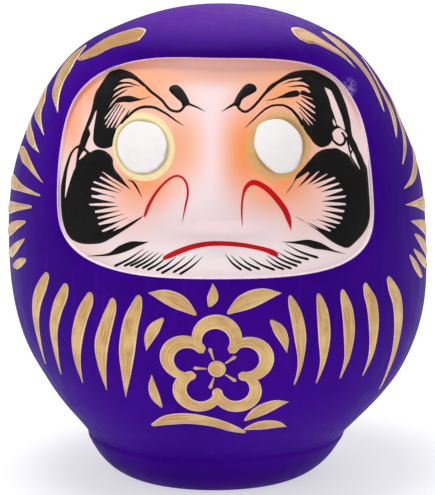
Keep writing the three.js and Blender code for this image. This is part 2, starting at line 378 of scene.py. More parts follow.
# ---------------------------------------------------------------- shells
RIM_STEPS, MOUTH_STEPS = 300, 80
FACE_RINGS, WALL_RINGS, LIP_RINGS, BODY_RINGS = 56, 14, 22, 41
WHITE_RINGS = 3        # the last rings of the niche wall, painted white
NICHE = 4              # the niche wall's rings start this far inside the opening, mm
INNER_SHARE = 0.92     # the inner wall is the outer one shrunk,
SEAM_SHARE = 0.975     # less so at the seam


def directions(middle):
    """Angles of the rings' points: round the seam, then along the flat mouth."""
    corner = math.atan2(MOUTH_Z - middle, MOUTH_R)
    seam = np.linspace(corner, math.pi - corner, RIM_STEPS, endpoint=False)
    arc = -MOUTH_R * np.cos(np.pi * np.arange(MOUTH_STEPS) / MOUTH_STEPS)
    return np.concatenate([seam, np.arctan2(MOUTH_Z - middle, arc)])


def edge_reach(angle, middle):
    """How far the outline seen from the front is from the middle, found by halving."""
    near, far = np.zeros(len(angle)), np.full(len(angle), 200.0)
    for _ in range(50):
        half = (near + far) / 2
        x, z = half * np.cos(angle), middle + half * np.sin(angle)
        inside = (z > MOUTH_Z) & (z < HEIGHT) & (np.abs(x) < radius(z))
        near, far = np.where(inside, half, near), np.where(inside, far, half)
    return near


def shell_rings(angle, end, front):
    """Distances of each ring from the middle: face, niche wall, lip and body."""
    ease = np.sin(np.linspace(0, 1, BODY_RINGS + 1) * np.pi / 2)[1:]
    if not front:
        return np.stack([end * e for e in ease], 1)
    reach = outline(angle)
    lip = np.minimum(LIP, 0.6 * (end - reach))
    r = [(reach - NICHE) * q for q in np.linspace(0.02, 1, FACE_RINGS)]
    r += [reach + t for t in np.linspace(0.3 - NICHE, 0, WALL_RINGS)]
    r += [reach + lip * q for q in np.linspace(0, 1, LIP_RINGS + 1)[1:]]
    r += [reach + lip + (end - reach - lip) * e for e in ease]
    return np.stack(r, 1)


def shell(name, front):
    """One painted half of the body, with an inner wall."""
    middle = FACE_Z if front else BACK_Z
    angle = directions(middle)
    r = shell_rings(angle, edge_reach(angle, middle), front)
    x, z = r * np.cos(angle)[:, None], middle + r * np.sin(angle)[:, None]
    depth = np.sqrt(np.clip(radius(z) ** 2 - x ** 2, 0, None))
    depth[:RIM_STEPS + 1, -1] = 0
    y = recess(x, z) - depth if front else depth
    outer = np.stack([x, y, z], -1)
    spokes, rings = r.shape
    tip = outer[:, 0].mean(axis=0)
    # the inner wall needs few rings, because nothing shows it
    picks = [10, 40, 95, 115, rings - 1] if front else [10, 30, rings - 1]
    shrink = np.array([INNER_SHARE] * (len(picks) - 1) + [SEAM_SHARE])[None, :, None]
    inner = CENTRE + (outer[:, picks] - CENTRE) * shrink
    inner_tip = CENTRE + (tip - CENTRE) * INNER_SHARE
    points = np.concatenate([[tip, inner_tip], outer.reshape(-1, 3), inner.reshape(-1, 3)])
    first, second = 2, 2 + spokes * rings
    skin = ring_faces(spokes, rings, first, not front)
    faces = [*skin, *ring_faces(spokes, len(picks), second, front)]
    kinds = [0] * len(faces)
    if front:
        ring = np.arange(len(skin)) % (rings - 1)
        white_end = FACE_RINGS + WALL_RINGS - 1
        white = np.where(ring < white_end, 2, 0)
        kinds[:len(ring)] = np.where(ring < white_end - WHITE_RINGS, 1, white).tolist()
    for s in range(spokes):
        n = (s + 1) % spokes
        a, b = first + s * rings, first + n * rings
        c, d = second + s * len(picks), second + n * len(picks)
        fan = [(0, a, b), (1, d, c)]
        wall = (a + rings - 1, c + len(picks) - 1, d + len(picks) - 1, b + rings - 1)
        for f in (*fan, wall):
            faces.append(f if front else f[::-1])
        kinds += [1 if front else 0, 0, 0]
    return new_mesh(name, points, faces, [PURPLE_FRONT if front else PURPLE, FACE, RIM], kinds)


front = shell("front_shell_painted", True)
back = shell("back_shell_painted", False)
for piece, node in ((front, "front_shell"), (back, "back_shell")):
    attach(piece, "root")
    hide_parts(node)


# ---------------------------------------------------------------- foot
def turned(name, profile, steps, material):
    """Turns a closed or axis-to-axis profile of (r, z) round the Z axis."""
    profile = np.array(profile, float)
    closed = profile[0, 0] > 0
    turn = np.linspace(0, 2 * np.pi, steps, endpoint=False)
    body = profile if closed else profile[1:-1]
    points = np.stack([np.outer(np.sin(turn), body[:, 0]), -np.outer(np.cos(turn), body[:, 0]),
                       np.tile(body[:, 1], (steps, 1))], -1).reshape(-1, 3)
    rings = len(body)
    faces = [f[::-1] for f in ring_faces(steps, rings, 0, False)]
    if closed:
        for s in range(steps):
            a, b = s * rings, ((s + 1) % steps) * rings
            faces.append((b + rings - 1, b, a, a + rings - 1))
    else:
        low, high = len(points), len(points) + 1
        points = np.concatenate([points, [[0, 0, profile[0, 1]], [0, 0, profile[-1, 1]]]])
        for s in range(steps):
            a, b = s * rings, ((s + 1) % steps) * rings
            faces += [(low, b, a), (high, a + rings - 1, b + rings - 1)]
    return new_mesh(name, points, faces, [material])


FOOT_STEPS, SHEET_STEPS = 240, 120
BAND_PAPER = 0.34  # how far the band stands out where its paper is full, mm
BAND_SUNK = 0.02   # its feathered edges end this far under the surface, mm
BAND_WALL = 0.9


def feathered(surface, heights, run):
    """Profile points of the band's skin, whose edge, at the first or last height, fades in over a run."""
    edge = max(heights, key=lambda z: abs(z - MOUTH_Z))
    return [(surface(z) + BAND_PAPER * float(smooth(abs(z - edge) / run)) - BAND_SUNK, z) for z in heights]


side = bezier([(37.0, 0.0), (42.5, 2.4), (47.8, 8.0), (49.6, 14.6)], np.linspace(0, 1, 24))
underside = [(0, 0.8), (20, 0.8), (35.1, 0.8), (35.2, 0.1)]
plug = [(48.6, 15.2), (46.6, 15.6), (46, 18), (30, 15), (0, 12.5)]
foot = turned("foot_painted", [*underside, *side.tolist(), *plug], FOOT_STEPS, PURPLE)

# the band's edges are feathered; a crease runs along the joint under it
skin = feathered(lambda z: float(radius(z)), np.linspace(25, 17.4, 12), 7)
skin += [(50.85, 16.6), (50.35, 16.1), (50.05, 15.6), (50.05, 15.1), (50.1, 14.4), (49.75, 13.4)]
skin += feathered(lambda z: float(np.interp(z, side[:, 1], side[:, 0])), np.linspace(12.6, 8.6, 6), 5)
hidden = [(r - BAND_WALL, z) for r, z in skin[::-1]]
band = turned("joint_band_painted", (skin + hidden)[::-1], FOOT_STEPS, PURPLE)
sheet_profile = [(0, 0), (30, 0), (34.8, 0), (34.8, 0.5), (30, 0.5), (0, 0.5)]
sheet = turned("underside_paper", sheet_profile, SHEET_STEPS, WASHI)
for piece, node, slot in ((foot, "foot_weight", "painted_clay"), (band, "foot_joint_band", "painted_band"),
                          (sheet, "underside_sheet", "washi")):
    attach(piece, "root")
    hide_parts(node)
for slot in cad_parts["seam_strip"].material_slots:
    slot.material = WASHI


# ---------------------------------------------------------------- brush work
THIN, THICK = 0.08, 0.28  # how far paint stands out, mm
WIDE = 11                 # points across a broad stroke
SUNK = -0.15              # paint edges end this far under the surface, mm
TURN_MM = 60              # mm of brush path for one radian round the body
TOP_Z = 179.5             # strokes stay below the crown's pole
FRONT_PULL = 40           # the brush is held this much nearer to square with the front, mm
STREAKS_APART = 37        # mm along the streak pattern between one stroke's start and the next


def curve(points, step=0.6):
    """A smooth line through the points (Catmull-Rom), closely sampled."""
    p = np.array(points, float)
    if len(p) == 2:
        return p[0] + (p[1] - p[0]) * np.linspace(0, 1, 24)[:, None]
    p = np.concatenate([[2 * p[0] - p[1]], p, [2 * p[-1] - p[-2]]])
    out = []
    for a, b, c, d in zip(p, p[1:], p[2:], p[3:]):
        n = max(4, int(np.linalg.norm(c - b) / step))
        t = np.linspace(0, 1, n, endpoint=False)[:, None]
        out.append(0.5 * (2 * b + (c - a) * t + (2 * a - 5 * b + 4 * c - d) * t ** 2
                          + (3 * b - a - 3 * c + d) * t ** 3))
    out.append(p[-2][None])
    return np.concatenate(out)


def on_front(x, z, lift=0.0):
    """The painted surface over the point (x, z) of the front plane."""
    depth = np.sqrt(np.clip(radius(z) ** 2 - x ** 2, 0, None))
    return np.stack([x, recess(x, z) - depth - lift, z], -1)


def round_body(turn, z, lift=0.0):
    """The painted surface at an angle round the body, 0 in front and positive to the right."""
    r = radius(z) + lift
    x, y = r * np.sin(turn), -r * np.cos(turn)
    return np.stack([x, y + np.where(y < 0, recess(x, z), 0), z], -1)


class Paint:
    """Gathers the strokes of one colour into one thin raised piece."""

    def __init__(self):
        self.points, self.faces, self.uv, self.count = [], [], [], 0

    def add(self, points, faces, uv):
        self.points.append(points)
        self.faces += [[i + self.count for i in f] for f in faces]
        self.uv.append(uv)
        self.count += len(points)

    def stroke(self, path, lift=THIN, side=False, across=7):
        """One brush stroke through (x, z, width) in mm, or with side=True (degrees round, z, width)."""
        path = np.array(path, float)
        if side:
            path[:, 0] *= math.radians(TURN_MM)
        line = curve(path, 0.6)
        u, z, half = line[:, 0], line[:, 1], np.clip(line[:, 2], 0.02, None) / 2
        mid = round_body(u / TURN_MM, z) if side else on_front(u, z)
        along = np.gradient(mid, axis=0)
        run = np.concatenate([[0], np.cumsum(np.linalg.norm(np.diff(mid, axis=0), axis=1))])
        # blunt ends are rounded off
        for near, end in ((run, half[0]), (run[-1] - run, half[-1])):
            if end > 0.15:
                half = half * np.sqrt(np.clip(1 - (1 - np.clip(near / end, 0, 1)) ** 2, 0.004, 1))
        out = mid - CENTRE
        if not side:
            out[:, 1] -= FRONT_PULL
        away = np.cross(out, along)
        away /= np.linalg.norm(away, axis=1, keepdims=True) + 1e-9
        rows = []
        for v in np.linspace(-1, 1, across):
            p = mid + away * (half * v)[:, None]
            h = SUNK if abs(v) == 1 else lift * 1.25 * (1 - abs(v) ** 3)
            if side:
                rows.append(round_body(np.arctan2(p[:, 0], -p[:, 1]), np.minimum(p[:, 2], TOP_Z), h))
            else:
                rows.append(on_front(p[:, 0], p[:, 2], h))
        grid = np.stack(rows, 1)
        n = len(run)
        # the brush coordinates are mm along the stroke, and from -3 to 3 across it
        start = len(self.uv) * STREAKS_APART
        uv = np.stack([np.repeat(run, across) + start, np.tile(np.linspace(-3, 3, across), n)], 1) * MM
        faces = [(i * across + j, (i + 1) * across + j, (i + 1) * across + j + 1, i * across + j + 1)
                 for i in range(n - 1) for j in range(across - 1)]
        self.add(grid.reshape(-1, 3), faces, uv)

    def patch(self, *loops, lift=THIN, cell=1.1, side=False):
        """A filled shape: closed outlines in (x, z) mm, or with side=True (degrees round, z).

        The first outline is the outer one and the others are holes."""
        def place(p, h):
            return round_body(np.radians(p[:, 0]), p[:, 1], h) if side else on_front(p[:, 0], p[:, 1], h)

        edges, verts = [], []
        for loop in loops:
            start = len(verts)
            verts += [tuple(p) for p in loop]
            edges += [(start + i, start + (i + 1) % len(loop)) for i in range(len(loop))]
        solid = [np.array(loop) for loop in loops]
        low, high = solid[0].min(axis=0), solid[0].max(axis=0)
        gx, gz = np.meshgrid(np.arange(low[0], high[0], cell), np.arange(low[1], high[1], cell))
        gx[1::2] += cell / 2
        grid = np.stack([gx.ravel(), gz.ravel()], 1)
        near = np.array(verts)
        keep = inside(grid, solid) & (nearest(grid, near) > cell * 0.4)
        verts += [tuple(p) for p in grid[keep]]
        done = delaunay_2d_cdt([Vector(v) for v in verts], edges, [], 0, 1e-5)
        flat = np.array([tuple(v) for v in done[0]])
        middles = np.array([flat[list(f)].mean(axis=0) for f in done[2]])
        faces = [f for f, kept in zip(done[2], inside(middles, solid)) if kept]
        # a skirt runs from the border edges, which only one face uses, down into the surface
        used = dict.fromkeys((a, b) for f in faces for a, b in zip(f, f[1:] + f[:1]))
        skirt, low_points, index = [], [], {}
        for a, b in used:
            if (b, a) not in used:
                for v in (a, b):
                    if v not in index:
                        index[v] = len(flat) + len(low_points)
                        low_points.append(place(flat[v:v + 1], SUNK)[0])
                skirt.append((b, a, index[a], index[b]))
        points = np.concatenate([place(flat, lift), np.array(low_points)])
        # the brush coordinates are mm along the shape, and from 0 well inside it to 3 at its edge
        uv = np.full((len(points), 2), 3.0)
        uv[:, 0] = points[:, 0] + points[:, 2]
        uv[:len(flat), 1] = np.clip(3 - 2 * nearest(flat, near), 0, 3)
        uv *= MM
        self.add(points, [list(f) for f in faces] + skirt, uv)

    def make(self, name, material):
        points, uv = np.concatenate(self.points), np.concatenate(self.uv)
        piece = new_mesh(name, points, self.faces, [material], uv=uv)
        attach(piece, "root")
        return piece


def nearest(points, others):
    """Each point's distance from the nearest of the others."""
    return np.min(np.linalg.norm(points[:, None] - others[None], axis=2), axis=1)


def inside(points, loops):
    """Even-odd test of points against closed outlines."""
    odd = np.zeros(len(points), bool)
    for loop in loops:
        for (x0, z0), (x1, z1) in zip(loop, np.roll(loop, -1, axis=0)):
            if z0 != z1:
                crosses = (z0 > points[:, 1]) != (z1 > points[:, 1])
                odd ^= crosses & (points[:, 0] < x0 + (points[:, 1] - z0) / (z1 - z0) * (x1 - x0))
    return odd


def closed(*parts):
    """A closed outline: a list is a smooth run, up to the start of a list after it; an array is kept."""
    out = []
    for part, after in zip(parts, [*parts[1:], parts[0]]):
        if isinstance(part, list):
            part = curve(part if isinstance(after, np.ndarray) else [*part, after[0]], 0.7)[:-1]
        out.append(part)
    return np.concatenate(out)


def comb(*points, blunt=0.4, tip=0.0):
    """Feathers with slits between them: a start, then feather tips and slit roots in turn, and an end."""
    p = np.array(points, float)
    out = [p[0]]
    for i in range(1, len(p) - 1):
        across = (p[i - 1] - p[i + 1]) / np.linalg.norm(p[i - 1] - p[i + 1]) * (tip if i % 2 else blunt)
        out += [p[i] + across, p[i] - across] if across.any() else [p[i]]
    return np.array(out + [p[-1]])


def sliver(*points):
    """A closed smooth outline through the points."""
    return curve([*points, points[0]], 0.7)[:-1]


def disc(x, z, r, steps=24):
    t = np.linspace(0, 2 * np.pi, steps, endpoint=False)
    return np.stack([x + r * np.cos(t), z + r * np.sin(t)], 1)


def run_in(points):
    """Keeps painted points off the niche wall."""
    p = np.array(points, float)
    dx, dz = p[:, 0], p[:, 1] - FACE_Z
    r = np.hypot(dx, dz)
    k = np.minimum(1, (outline(np.arctan2(dz, dx)) - WALL_RUN - 0.1) / np.maximum(r, 1e-6))
    p[:, 0], p[:, 1] = dx * k, FACE_Z + dz * k
    return p


# ---------------------------------------------------------------- black: brows, beard, moustache
ink = Paint()

# left brow
left_brow = closed(
    [(-50.6, 135.1), (-49.8, 137.6), (-48.4, 140.9), (-46, 146.5), (-44.5, 151.9), (-42.9, 154.4),
     (-40.9, 157.1), (-39.6, 158.6), (-38.3, 159.5), (-36.2, 160.1), (-35, 160.3), (-32.5, 159.9),
     (-30.6, 159.3), (-28.8, 158.3), (-27, 157.1)],
    [(-24.5, 155.2), (-25, 154.8), (-26.8, 155.6), (-28.6, 156.7), (-30.6, 157.4), (-31.7, 157.5),
     (-33.7, 157.2)],
    [(-35.4, 156.5), (-33.9, 156.4), (-31.4, 156.4), (-29.2, 155.8)],
    [(-27, 155.2), (-29.5, 155.5), (-31.7, 155.9), (-34.1, 155.7), (-36.1, 154.8)],
    [(-37.6, 153.4), (-36.2, 154.1), (-34.1, 154.9), (-31.3, 155.2)],
    [(-29.5, 155), (-32.3, 154.7), (-34.5, 154), (-36.6, 152.7)],
    [(-38.2, 151.1), (-37.1, 151.8), (-35.1, 152.9), (-33, 153.8)],
    [(-32, 154.1), (-33.4, 153.2), (-35.5, 151.9), (-37.6, 150.2)],
    [(-39.5, 147.5), (-38.1, 149), (-36.4, 150.7), (-35.5, 151.4), (-34.6, 151.7), (-32.6, 152.1),
     (-30.5, 152.1), (-28.4, 151.6), (-27.3, 151.4), (-25.1, 151.8)],
    [(-23.2, 152.3), (-27, 151), (-29.1, 150.5), (-31.2, 150.1), (-33.3, 150.1), (-35.2, 149.8)],
    comb((-36.4, 149.6), (-36.2, 149.7), (-40.8, 144.2), (-35.8, 149.5), (-40.6, 142.4), (-35, 149.4),
         (-40, 141.4), (-34, 149.1), (-38.4, 141.6), (-33, 148.3), (-36.9, 141.6), (-31.2, 147.9),
         (-32.6, 145.1), blunt=0.22, tip=0.2),
    [(-33.6, 144.6), (-35.5, 142.4), (-36.4, 141.3), (-37.1, 139.6), (-37.6, 138.3), (-37.9, 136.8),
     (-38.2, 135.4), (-39.6, 134.6), (-41.4, 134.2), (-43.2, 134.4), (-44.4, 135), (-45.2, 136.1),
     (-45.4, 137.7), (-45, 141.3), (-44.2, 144.9)],
    [(-43.8, 147), (-44.6, 145.9), (-45.3, 144.3), (-46.6, 141.7), (-47.1, 140.6), (-46.5, 138.8),
     (-47.3, 136.9)],
    [(-48.1, 134.8), (-48.7, 133.4), (-50.2, 131.6), (-51.1, 132.8)],
)
ink.patch(run_in(left_brow))
ink.patch(closed(
    [(-16.8, 154.5), (-16.4, 155.4), (-14.3, 156.1), (-12.1, 155), (-10.1, 152.4), (-9.2, 150.6),
     (-9.6, 149.8), (-11.6, 149.2), (-12.2, 150.5), (-13.9, 151.9), (-16.2, 153.7)],
))
for path in (
    [(-25.4, 155.3, 1.4), (-23, 153.5, 1.3), (-21, 152.3, 1.3), (-19, 150.9, 1.3), (-18.2, 150, 1.3),
     (-16.4, 148.3, 1.3), (-14.1, 147.7, 1.3), (-12.6, 148, 1.3), (-11.3, 149.2, 1.3), (-10.8, 150.2, 1.3)],
    [(-10.4, 150.6, 1.6), (-9.2, 150.1, 1.2), (-6.5, 149.2, 0.8), (-3.6, 148, 0.15)],
    [(-35, 142.9, 1.5), (-33.2, 144.6, 1.3), (-31.7, 145.8, 1.3), (-30, 147.2, 1.4), (-28.4, 148.1, 1.4),
     (-26.5, 148.75, 1.4), (-24.3, 148.95, 1.4), (-22, 148.75, 1.3), (-20, 148, 1.2), (-17.5, 146.8, 1.05),
     (-14.5, 144.9, 0.75), (-11.5, 143.2, 0.15)],
):
    ink.stroke(path)

# right brow
right_brow = closed(
    [(18.6, 155.1), (20.1, 156.3), (22.6, 157.5), (25.1, 158.8), (27.5, 159.7), (30.1, 160), (33.2, 160),
     (36.2, 159.5), (39.4, 158), (42.8, 156.1), (45, 154.2), (46.6, 152), (47.8, 149.8), (48.8, 147.5),
     (49.4, 145.3), (50.1, 142.7), (50.4, 140), (50.9, 137.4), (52.3, 134.6), (53.2, 132.2), (54.1, 130.4)],
    [(54.9, 128), (55.5, 126.2), (55.7, 124), (53.4, 123.6)],
    [(53, 126.3), (52.2, 128.5), (51.4, 131.1), (50.2, 133.4), (49.4, 135.2), (48.9, 137.6), (48.4, 138.8),
     (46.4, 140.5), (44.8, 140.6), (43.4, 139.7), (42.9, 138.3)],
    [(43.2, 137), (42.6, 136.4), (41.7, 135.4), (40.4, 134.9), (38.9, 134.7), (37.5, 135.2), (36, 136.4),
     (34.6, 138.3), (33.1, 140.2), (32, 142.2), (31.8, 144.4)],
    comb((31.9, 145.4), (30.8, 146.8), (34.3, 142.6), (30.8, 147.2), (35.7, 142.7), (30.7, 148.6),
         (36.8, 143.8), (29.6, 150.5), (36.6, 146.3), (31.3, 151), (36.7, 148.3), (31.4, 152.2),
         (35.8, 150.9), (31, 152.8), (31, 153.2), blunt=0.3, tip=0.12),
    [(31.3, 153.9), (32.6, 153.8), (34.2, 153.1)],
    [(35, 153.1), (33.6, 154.4), (31.5, 155.1), (29.1, 155.2)],
    [(26, 155.3), (28.6, 155.6), (31.5, 155.7), (32.7, 155.4)],
    [(34.5, 154.9), (33.6, 155.6), (32.5, 156.2), (31.3, 156.6), (28.4, 156.8), (25.5, 156.4)],
    [(24.2, 156.1), (26.8, 157), (28.4, 157.2), (30, 157.2)],
    [(31.7, 157.7), (30.7, 157.9), (27.6, 157.7), (26, 157.5), (23.3, 156.6), (20.6, 154.9)],
    [(19.3, 153.9)],
)
ink.patch(
    run_in(right_brow),
    sliver((40.1, 154.3), (40.8, 152.9), (42.1, 150.4), (42.9, 147.7), (43.8, 145.5), (44.7, 142.9),
           (45, 141.9), (46.4, 140.9), (48, 139.9), (47.1, 143.7), (46, 146.5), (44.8, 149.3), (43.3, 152),
           (42.4, 153.2)),
    sliver((43.5, 144), (43.3, 143.2), (43.6, 142.3), (44.1, 141.5), (44.5, 142), (44.1, 143.1)),
)
ink.patch(closed(
    [(15, 155.1), (14.2, 156.2), (12.8, 156.7), (11.4, 156.6), (10, 155.7), (8.8, 154.3), (7.7, 152.8),
     (7, 151.3), (6.5, 150.3), (7.6, 149.7), (8.9, 149.8), (9.3, 150.7), (9.8, 151.7), (10.7, 152.4),
     (12.1, 153), (13.4, 153.6), (14.7, 154.3)],
))
for path in (
    [(8.1, 150.2, 1.3), (8.6, 149.1, 1.3), (9.8, 148.2, 1.3), (10.9, 147.9, 1.3), (12.2, 148.3, 1.3),
     (14, 149.5, 1.3), (15.6, 151, 1.3), (17.4, 152.9, 1.4), (19.2, 154.6, 1.6), (21, 155.8, 1.5)],
    [(7.6, 150.7, 1.7), (5.4, 149.6, 1.1), (2.4, 148, 0.15)],
    [(10.7, 142.6, 0.15), (13.2, 144.7, 0.65), (15, 146.2, 0.8), (16.7, 147.5, 0.9), (18.5, 148.7, 1),
     (21.1, 149.6, 1.05), (24.4, 149.6, 1.1), (26.4, 148.9, 1.3), (28.1, 147.8, 1.4), (29.8, 146, 1.6),
     (31, 144.4, 1.8), (32.4, 142.2, 2.3)],
    [(18.3, 151.3, 0.12), (20.7, 151.5, 0.5), (22.4, 151.9, 0.6), (24.4, 152.3, 1.4), (26.7, 152.7, 2.8),
     (28.6, 153, 3.2), (30, 153.1, 3), (31, 152.9, 1.6)],
    [(42.9, 138.8, 1.1), (43.1, 137.2, 1.2), (44.2, 135.9, 1.3), (45.6, 135, 1.3), (47, 135.1, 1.3),
     (47.9, 136.2, 1.3), (47.7, 137.8, 1.3), (46.6, 139.4, 1.3)],
    [(48.5, 137.8, 1.2), (49, 135.4, 1.1), (49.8, 131.5, 1.1)],
    [(50.6, 133, 0.8), (49.8, 131, 0.9), (50.7, 129, 0.9), (52, 126.8, 0.9), (53.3, 124.4, 0.9)],
):
    ink.stroke(path)

# left beard
left_beard = closed(
    [(-50.6, 134.6), (-49.4, 134.2), (-48, 133.2), (-46.4, 132.4), (-45.5, 133), (-44, 133.6),
     (-42.5, 133.7), (-41.2, 133.5), (-40, 132.95), (-39.1, 132.35), (-38.2, 131.4), (-37.8, 130.4),
     (-37.8, 129.3), (-37.4, 128), (-36.7, 126.8), (-35.6, 125.7), (-34.4, 124.4), (-33.2, 122.9),
     (-31, 120.5)],
    comb((-33.6, 121.8), (-31, 120.5), (-41.6, 125.9), (-33.5, 120.7), (-42.4, 124), (-34.3, 119.8),
         (-44.8, 122.1), (-35.1, 119.1), (-45.6, 119.7), (-36.3, 117.4), (-45.4, 117), (-36.6, 115.6),
         (-46.2, 113.9), (-35.4, 114.5), (-44.1, 111.6), (-34.8, 113.1), (-43.2, 109.5), (-33.3, 112.2),
         (-42.8, 107.4), (-31.9, 111), (-41.5, 105.1), (-30.7, 110.3), (-37.4, 105.7), (-26.4, 112),
         (-27.7, 110.7))[1:],
    [(-27.7, 110.7), (-30.6, 108.4), (-33.8, 106.1), (-37.4, 103.6), (-40.9, 101.4), (-43.1, 100.6),
     (-45.2, 100.2), (-47.3, 99.9), (-49.5, 99.8), (-51.4, 100.1), (-53.3, 100.7), (-54.6, 102),
     (-55.6, 103.3), (-56.7, 106.6), (-57.4, 110.5), (-57.5, 114), (-57.4, 117.9), (-56.9, 121.6),
     (-56, 126), (-54.6, 130.4), (-53.5, 132.3), (-52.2, 133.7)],
)
ink.patch(
    run_in(left_beard),
    sliver((-51.1, 133.4), (-52.2, 132.8), (-53.3, 131.2), (-54, 129.4), (-54.5, 127.4), (-55, 125),
           (-55.4, 120.4), (-55.6, 115.1), (-54.6, 118.5), (-54, 120.6), (-52.7, 124.8), (-52, 126.4),
           (-51.6, 130.2)),
    sliver((-49, 132.7), (-48, 131.8), (-50.6, 129.3), (-50.1, 131)),
)
ink.stroke([(-49.8, 134.4, 0.9), (-48.6, 133.4, 0.9), (-47.3, 132.3, 0.9)])
ink.stroke([(-32.2, 124, 0.2), (-30.4, 123.4, 0.9), (-29.2, 122, 1), (-28.2, 120.4, 0.7),
            (-27, 118.2, 0.12)])

# right beard
right_beard = closed(
    [(24.8, 119.3), (25.9, 120.8), (27.7, 123), (29, 125.6), (30, 126.7), (31.3, 127.8), (33.9, 130.4),
     (36.2, 132.5), (37.5, 133.3), (39.2, 133.9), (41.1, 134.1), (43, 134.1), (44.6, 134), (46.2, 133.1),
     (47.5, 132.3), (48.8, 131.4), (49.5, 130.4), (51, 127.8), (53.3, 124.6), (54.6, 125.6)],
    [(55.4, 127.1), (55.9, 125), (56.2, 122.9), (56.5, 120.9), (56.6, 116.7), (56.4, 112.4), (55.8, 108.5),
     (54.8, 105.2), (52.8, 102.4), (50.2, 100.2), (48.3, 98.8), (47, 98.6), (45.8, 98.9), (42.9, 100.5),
     (39.8, 102.8), (36.8, 105.5), (33.7, 107.9), (30.8, 110.1), (29.3, 111), (28, 111.7)],
    comb((29, 111.3), (28, 111.7), (36.5, 106.4), (32.5, 109.4), (41, 105.3), (34.4, 109.9), (42.9, 106.2),
         (35.8, 110.1), (44.5, 107.6), (37.9, 111.2), (45.5, 109.3), (37.9, 112.9), (46.2, 111.6),
         (38.8, 114.4), (46.9, 114.1), (38, 116), (47, 116.8), (39.1, 117.4), (45.9, 119.4), (37.9, 119.3),
         (44.8, 121.7), (36, 120.6), (43.4, 123.8), (34.9, 122.1), (40.5, 125.4), (33, 122.2), (37.5, 126.6),
         (29.5, 121.5), (33.8, 126.4), (29, 124.4), (28.6, 124))[1:],
    [(28.6, 124), (27.4, 122.2), (26, 120.6)],
)
ink.patch(run_in(right_beard))

# moustache leaves and whiskers
ink.patch(closed(
    [(-47.5, 95.5), (-43.5, 96.5), (-41, 97.1), (-38.6, 98.1), (-35.6, 100.5), (-32.1, 102.2), (-30, 102.7),
     (-27.3, 102.7)],
    [(-24.7, 102.8), (-26.7, 101.8), (-28.8, 100.9), (-30.8, 99.8), (-34.7, 98.1), (-38.6, 96.9),
     (-41.6, 96.3)],
))
ink.patch(closed(
    [(22.9, 102.8), (27.4, 102.8), (29.9, 103), (32.1, 103.1), (33.9, 102.8), (37.3, 101.5), (40.4, 99.5),
     (42.3, 98.3)],
    [(46.7, 96.4), (42.9, 97.5), (39.1, 98.7), (35.1, 99.6), (31.4, 101.1), (27.1, 102.1)],
))
for x, z, end_x, end_z in (
    # left whiskers from the cheek inwards, then right ones from the middle outwards
    (-26.4, 100.3, -37.4, 93), (-24.7, 99.7, -33.9, 93.4), (-23, 99.3, -31.7, 93.6),
    (-21, 99.3, -29.8, 93.2), (-19.4, 98.9, -27.3, 93.1), (-17.6, 98.2, -25.4, 92.7),
    (-14.9, 97.9, -22.2, 92.6), (-11.4, 98.2, -20.4, 91.7), (-7.5, 98.8, -16.2, 92.2),
    (-5.3, 98.3, -13.9, 91.6),
    (2.6, 99.2, 8.6, 93.3), (4.6, 98.7, 12.2, 93), (7.6, 98.3, 15.3, 93.3), (11.1, 98, 20.6, 92.9),
    (17.1, 97, 24, 92.9), (17.7, 98.3, 26.7, 93), (18.2, 99.6, 28.8, 93.8), (21.6, 99.3, 30.3, 94.9),
    (23.7, 100, 33, 95.9), (24.6, 102, 36.4, 96.2),
):
    bend = 0.35 if x > 0 else -0.25
    middle = ((x + end_x) / 2 - bend, (z + end_z) / 2 - abs(bend), 0.9)
    ink.stroke([(x, z, 0.12), middle, (end_x, end_z, 1.25)])
ink.make("black_brows_and_beard", INK)

# ---------------------------------------------------------------- red: mouth and nose lines
red = Paint()
red.stroke([(-19.6, 97, 1.4), (-17, 98.3, 2.2), (-12.7, 100.2, 2.3), (-8.6, 101.6, 2.2),
            (-3.8, 102.5, 2.1), (0.5, 102.7, 2), (5, 102.5, 2), (10, 101.9, 1.9), (14.7, 100.9, 1.9),
            (17.8, 100, 2.1), (19.8, 99.1, 2.5), (21.8, 98, 1.9)], 0.16)
red.stroke([(-26.2, 111.4, 0.6), (-25.6, 113, 1.4), (-24.6, 115.6, 1.5), (-22.4, 119.5, 1.3),
            (-19.8, 122.8, 1.1), (-16.8, 125.4, 1), (-14.2, 126.4, 1), (-12, 125.6, 1),
            (-10.6, 123.3, 1.05), (-10.4, 119.9, 1), (-11.3, 116, 0.85), (-12.5, 110.4, 0.12)], 0.16)
red.stroke([(9, 108.9, 0.12), (8.9, 112, 0.6), (8.9, 115.5, 0.9), (9.4, 119.6, 1), (10.6, 122.6, 1.7),
            (13, 124.1, 2.3), (16, 123.2, 2.4), (19.2, 120.9, 2.5), (22.3, 117.4, 2.6),
            (24.6, 113.9, 2.6), (25.9, 110.4, 2.2), (26.6, 106.8, 0.12)], 0.16)
red.make("red_mouth_and_nose", RED)

# ---------------------------------------------------------------- white: blank eyes
eyes = Paint()
eyes.patch(sliver((-36.3, 135), (-36, 138), (-34.6, 140.7), (-32, 143), (-29.2, 144.1), (-25.6, 144.1),
                  (-22, 143.4), (-19.6, 141.6), (-18, 138.6), (-17.9, 135.6), (-18.8, 132.2),
                  (-20.8, 129.4), (-24, 127.4), (-27.8, 126.8), (-31, 127.3), (-33.6, 129.2),
                  (-35.5, 132)), lift=0.2)
eyes.patch(sliver((13.9, 138), (14.7, 141.2), (15.6, 143.3), (18, 144.6), (21, 145.2), (24, 145),
                  (26.6, 143.8), (29, 141.8), (30.8, 139.4), (31.6, 136.6), (31.4, 133.2), (30, 129.8),
                  (28.3, 127.8), (25.2, 126.9), (21.8, 127.2), (18.4, 129.4), (15.6, 132.6),
                  (14.2, 135.6)), lift=0.2)
eyes.make("white_eyes", WHITE)

